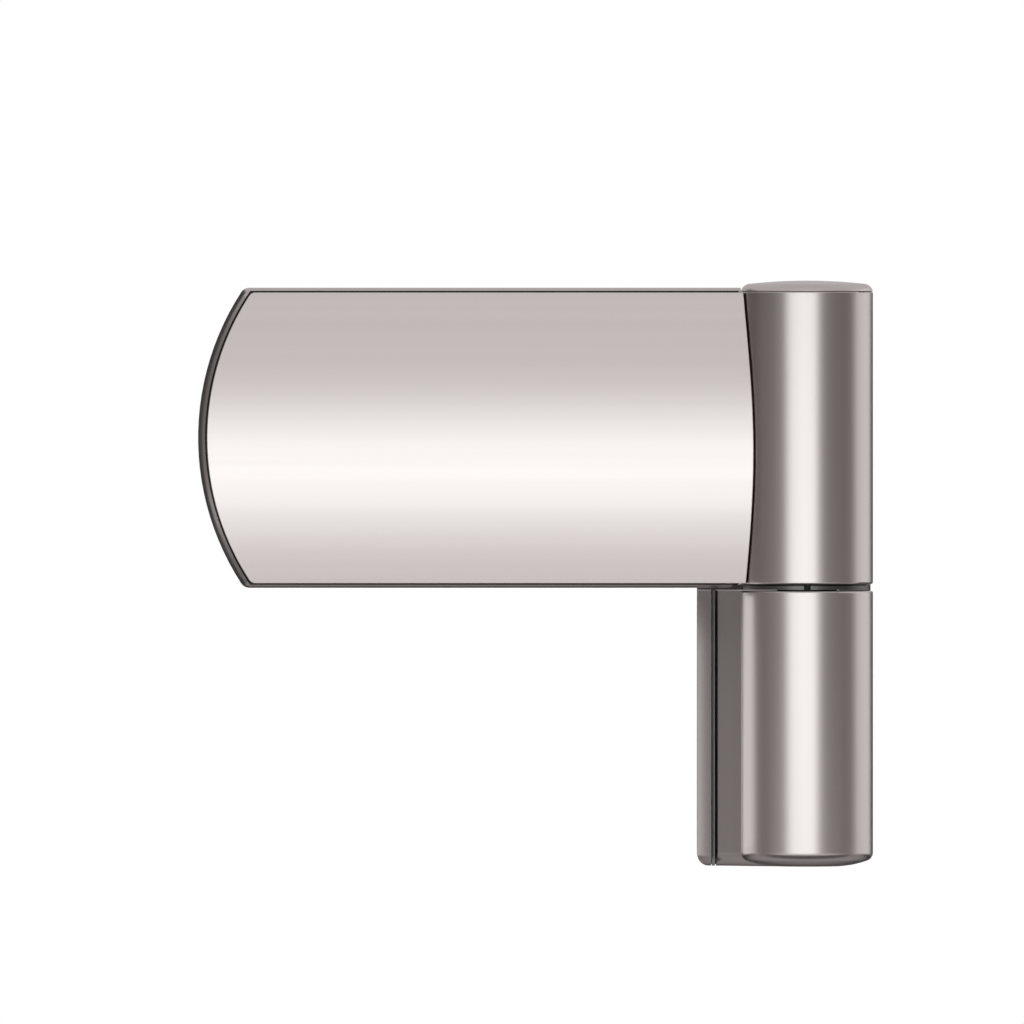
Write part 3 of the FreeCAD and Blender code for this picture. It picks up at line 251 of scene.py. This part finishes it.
finishes = {
    "satin_metal": finish(
        "satin_metal", (0.602, 0.550, 0.539), (0.533, 0.487, 0.477), metallic=1.0, low=0.303, high=0.327,
        stretch=PIN_BRUSH, drift=PIN_STREAKS, bump=3.0e-6,
        # Painted shade: the leaf's tray behind the cover is painted near black, as the shadow in the gap
        # round the cover.
        painted_shade_mask=tray_group(), painted_shade_colour=(0.030, 0.029, 0.028)),
    "satin_shell": finish(
        "satin_shell", (0.613, 0.560, 0.548), (0.541, 0.495, 0.484), metallic=1.0, low=0.283, high=0.307,
        stretch=LEAF_BRUSH, drift=LEAF_STREAKS, bump=3.0e-6),
    "collar_metal": finish(
        "collar_metal", (0.130, 0.121, 0.119), (0.110, 0.102, 0.100), metallic=1.0, low=0.30, high=0.42,
        stretch=ROUND, drift=CLOUD, bump=3.0e-6,
        # Painted shade: the bush inside the collar's step is painted near black, as the shadow in the
        # collar's slit.
        painted_shade_mask=collar_group(), painted_shade_colour=(0.020, 0.019, 0.018)),
    "cast_grey": finish(
        "cast_grey", (0.420, 0.415, 0.410), (0.360, 0.356, 0.350), metallic=1.0, low=0.42, high=0.58,
        stretch=ROUND, drift=CLOUD, bump=1.2e-5,
        # Darker base plate: partly painted shade for the narrow gap behind the leaf, partly a raw cast
        # tone.
        painted_shade_mask=plate_group(), painted_shade_colour=(0.180, 0.176, 0.173)),
    "zinc_plated": finish(
        "zinc_plated", (0.600, 0.610, 0.630), (0.540, 0.548, 0.560), metallic=1.0, low=0.30, high=0.45,
        stretch=COARSE, drift=CLOUD, bump=6.0e-6),
    "bright_steel": finish(
        "bright_steel", (0.640, 0.640, 0.640), (0.600, 0.600, 0.600), metallic=1.0, low=0.14, high=0.24,
        stretch=DRAWN, drift=CLOUD, bump=2.0e-6),
    # A dark steel finish; on the pin it is partly painted shade, darkening what shows through the collar's
    # slit.
    "dark_steel": finish(
        "dark_steel", (0.085, 0.085, 0.090), (0.060, 0.060, 0.064), metallic=0.6, low=0.36, high=0.50,
        stretch=ROUND, drift=CLOUD, bump=4.0e-6),
    "bearing_plastic": finish(
        "bearing_plastic", (0.780, 0.765, 0.720), (0.740, 0.725, 0.680), metallic=0.0, low=0.42, high=0.56,
        stretch=ROUND, drift=CLOUD, bump=6.0e-6),
    "grey_plastic": finish(
        "grey_plastic", (0.330, 0.318, 0.312), (0.300, 0.290, 0.284), metallic=0.0, low=0.36, high=0.48,
        stretch=ROUND, drift=CLOUD, bump=8.0e-6),
}

# Each part of the model takes the finish of its slot
for entry in frame["record"]["subparts"]:
    mesh = nodes[entry["node"]].data
    mesh.materials.clear()
    mesh.materials.append(finishes[entry["material_slot"]])


# Studio


ONE_FACE = ((0, 1, 2, 3),)


def plain_panel(name, corners, material, faces=ONE_FACE):
    """A stage panel, flat through four corners unless its faces are given."""
    mesh = bpy.data.meshes.new(name)
    mesh.from_pydata(corners, [], faces)
    panel = bpy.data.objects.new(name, mesh)
    panel.data.materials.append(material)
    bpy.context.collection.objects.link(panel)
    return panel


def card(name, corners, material, faces=ONE_FACE):
    """A panel that only shows as a reflection on the metal."""
    panel = plain_panel(name, corners, material, faces)
    panel.visible_camera = False
    panel.visible_diffuse = False
    panel.visible_transmission = False
    panel.visible_shadow = False


def upright(name, start, end, low, high, material):
    """A standing card over the line from start to end in plan."""
    card(name, [(*start, low), (*end, low), (*end, high), (*start, high)], material)


def rectangle(left, right, front, back, height):
    """The four corners of a level rectangle."""
    return [(left, front, height), (right, front, height), (right, back, height), (left, back, height)]


def bent(name, radius, half_turn, front, back, material):
    """A card bent round the leaf's arched end: an arc of the given radius, carried from front to back."""
    steps = 8
    turns = [math.radians(half_turn * step / steps) for step in range(-steps, steps + 1)]
    arc = [(TRAY_END_X - radius * math.cos(turn), LEAF_Z + radius * math.sin(turn)) for turn in turns]
    corners = [(x, depth, z) for depth in (front, back) for x, z in arc]
    count = len(arc)
    faces = [(i, i + 1, count + i + 1, count + i) for i in range(count - 1)]
    card(name, corners, material, faces)


def mixed_shader(tree, factor, first, second):
    """Two shaders mixed by a factor: the first at zero, the second at one."""
    mixed = tree.nodes.new("ShaderNodeMixShader")
    for source, socket in zip((factor, first, second), mixed.inputs):
        tree.links.new(source, socket)
    return mixed.outputs["Shader"]


def glow(name, colour, front_only=False):
    """A material that shines in one plain colour, and can be clear from behind."""
    material = bpy.data.materials.new(name)
    material.use_nodes = True
    tree = material.node_tree
    tree.nodes.clear()
    light = tree.nodes.new("ShaderNodeEmission")
    light.inputs["Color"].default_value = (*colour, 1.0)
    light.inputs["Strength"].default_value = 1.0
    end = tree.nodes.new("ShaderNodeOutputMaterial")
    shine = light.outputs["Emission"]
    if front_only:
        side = tree.nodes.new("ShaderNodeNewGeometry")
        clear = tree.nodes.new("ShaderNodeBsdfTransparent")
        shine = mixed_shader(tree, side.outputs["Backfacing"], shine, clear.outputs["BSDF"])
    tree.links.new(shine, end.inputs["Surface"])
    return material


def sees_background(tree):
    """One for rays from the camera, from a glossy surface or through glass, else zero."""
    path = tree.nodes.new("ShaderNodeLightPath")
    total = path.outputs["Is Camera Ray"]
    for ray in ("Is Glossy Ray", "Is Transmission Ray"):
        larger = tree.nodes.new("ShaderNodeMath")
        larger.operation = "MAXIMUM"
        tree.links.new(total, larger.inputs[0])
        tree.links.new(path.outputs[ray], larger.inputs[1])
        total = larger.outputs["Value"]
    return total


def set_world(ambient):
    """White where it is seen, and a softer level as light on matt surfaces."""
    world = bpy.data.worlds.new("studio")
    world.use_nodes = True
    tree = world.node_tree
    strength = tree.nodes.new("ShaderNodeMapRange")
    strength.inputs["To Min"].default_value = ambient
    strength.inputs["To Max"].default_value = 1.0
    tree.links.new(sees_background(tree), strength.inputs["Value"])
    background = tree.nodes["Background"]
    background.inputs["Color"].default_value = (1.0, 1.0, 1.0, 1.0)
    tree.links.new(strength.outputs["Result"], background.inputs["Strength"])
    bpy.context.scene.world = world


def floor_material(matt_colour, white_share):
    """Pale floor that looks nearly as white as the background and still takes a shadow."""
    material = bpy.data.materials.new("pale_floor")
    material.use_nodes = True
    tree = material.node_tree
    tree.nodes.clear()
    matt = tree.nodes.new("ShaderNodeBsdfDiffuse")
    matt.inputs["Color"].default_value = matt_colour
    white = tree.nodes.new("ShaderNodeEmission")
    white.inputs["Strength"].default_value = 1.0
    share = tree.nodes.new("ShaderNodeMath")
    share.operation = "MULTIPLY"
    share.inputs[1].default_value = white_share
    tree.links.new(sees_background(tree), share.inputs[0])
    surface = mixed_shader(tree, share.outputs["Value"], matt.outputs["BSDF"], white.outputs["Emission"])
    end = tree.nodes.new("ShaderNodeOutputMaterial")
    tree.links.new(surface, end.inputs["Surface"])
    return material


def soft_lamp(name, place, aim, width, height, radiance, colour):
    """A rectangular lamp of the given brightness, aimed at a point."""
    data = bpy.data.lights.new(name, "AREA")
    data.shape = "RECTANGLE"
    data.size = width
    data.size_y = height
    data.energy = radiance * math.pi * width * height
    data.color = colour
    lamp = bpy.data.objects.new(name, data)
    lamp.location = place
    lamp.rotation_euler = (Vector(aim) - Vector(place)).to_track_quat("-Z", "Y").to_euler()
    lamp.visible_camera = False
    bpy.context.collection.objects.link(lamp)
    return lamp


def keep_off(lamp, panel):
    """Leaves one panel out of what a lamp lights, so that the panel keeps an even tone."""
    unlit = bpy.data.collections.new("not_lit_by_" + lamp.name)
    unlit.objects.link(panel)
    unlit.collection_objects[0].light_linking.link_state = "EXCLUDE"
    lamp.light_linking.receiver_collection = unlit


# Light on matt surfaces, and the floor with its place in plan
AMBIENT = 0.55
FLOOR_Z = -0.075
FLOOR_MATT = (0.90, 0.90, 0.90, 1.0)
FLOOR_WHITE_SHARE = 0.92
set_world(AMBIENT)
pale_floor = floor_material(FLOOR_MATT, FLOOR_WHITE_SHARE)
floor = plain_panel("floor", rectangle(-1.4, 1.3, -1.4, 1.3, FLOOR_Z), pale_floor)

# Tones of the cards
flag = glow("dark_flag", (0.200, 0.188, 0.187))
near = glow("near_flag", (0.235, 0.222, 0.221))
white = glow("white_card", (1.25, 1.25, 1.25))
shade = glow("shade_card", (0.115, 0.110, 0.110))
black = glow("black_card", (0.01, 0.01, 0.01))
ink = glow("ink_card", (0.05, 0.05, 0.05))
grey = glow("grey_card", (0.62, 0.61, 0.61))
roof = glow("roof_tone", (0.69, 0.68, 0.68))
dim = glow("dim_card", (0.27, 0.26, 0.26))
pale = glow("pale_card", (0.38, 0.37, 0.37))
bright = glow("bright_card", (0.86, 0.86, 0.86))
one_side = glow("one_side_card", (1.0, 0.99, 0.99), front_only=True)

# Flags on both sides, from the lamp to the back
RIGHT_BEND = (0.33, -0.29)
LEFT_BEND = (-0.50, -0.276)
LEFT_CORNER = (-0.61, 0.115)
LEFT_END = (-0.34, 0.35)
upright("near_flag_right", (0.19, -0.52), RIGHT_BEND, -0.22, 0.30, near)
upright("far_flag_right", RIGHT_BEND, (0.50, -0.01), -0.22, 0.30, flag)
upright("near_flag_left", (-0.42, -0.56), LEFT_BEND, -0.26, 0.34, near)
upright("far_flag_left", LEFT_BEND, LEFT_CORNER, -0.26, 0.34, flag)

# Behind the hinge: dark edges, sides and the back
upright("edge_right", (0.018, 0.35), (0.295, 0.35), -0.070, 0.085, black)
upright("edge_left", (-0.34, 0.35), (-0.13, 0.35), 0.030, 0.085, black)
upright("low_edge_left", (-0.20, 0.35), (-0.030, 0.35), -0.070, 0.026, black)
upright("side_left", LEFT_CORNER, LEFT_END, 0.028, 0.34, shade)
upright("low_side_left", LEFT_CORNER, LEFT_END, -0.26, 0.027, white)
upright("back_card", (-0.30, 0.36), (0.26, 0.36), 0.085, 0.30, grey)

# Close to the hinge: round the leaf's arched end, and beside the lower barrel, shining only towards it
bent("end_card", radius=0.0540, half_turn=38.0, front=-0.0255, back=0.040, material=ink)
upright("barrel_card", (-0.0140, -0.0329), (-0.0128, -0.0291), -0.0205, 0.0222, one_side)

# Above, and strips on the floor from front to back
LOW_Z = -0.072
card("roof_card", rectangle(-0.45, 0.40, -0.28, 0.36, 0.30), roof)
upright("brow_card", (-0.50, -0.66), (0.30, -0.66), 0.16, 0.32, bright)
low_strips = (("low_front", -0.14, -0.045, shade), ("low_band", -0.045, 0.012, pale),
              ("low_card", 0.012, 0.06, dim), ("low_back", 0.06, 0.30, black))
for name, front, back, tone in low_strips:
    card(name, rectangle(-0.40, 0.30, front, back, LOW_Z), tone)

# The lamp in front
COOL = (0.92, 1.0, 1.024)
LAMP_X = -0.092
LAMP_Z = -0.005
front_box = soft_lamp("front_box", place=(LAMP_X, -0.630, LAMP_Z), aim=(LAMP_X, 0.0, LAMP_Z),
                      width=0.545, height=0.206, radiance=1.38, colour=COOL)
keep_off(front_box, floor)


# Camera


def set_camera():
    """Long lens, straight on and a little above, framed as 170.5 mm across the pin's plane."""
    sensor = 36.0
    reach = 7.0
    width = 0.17050
    tilt = math.radians(0.3)
    aim = Vector((-0.0491, PIN_Y, SEAM_Z + 0.0131))
    data = bpy.data.cameras.new("camera")
    data.sensor_width = sensor
    data.lens = sensor * reach / width
    data.clip_start = 0.05
    data.clip_end = 40.0
    camera = bpy.data.objects.new("camera", data)
    camera.location = aim + Vector((0.0, -reach * math.cos(tilt), reach * math.sin(tilt)))
    camera.rotation_euler = (math.pi / 2 - tilt, 0.0, 0.0)
    bpy.context.collection.objects.link(camera)
    bpy.context.scene.camera = camera


set_camera()
bpy.context.scene.view_settings.view_transform = "Standard"
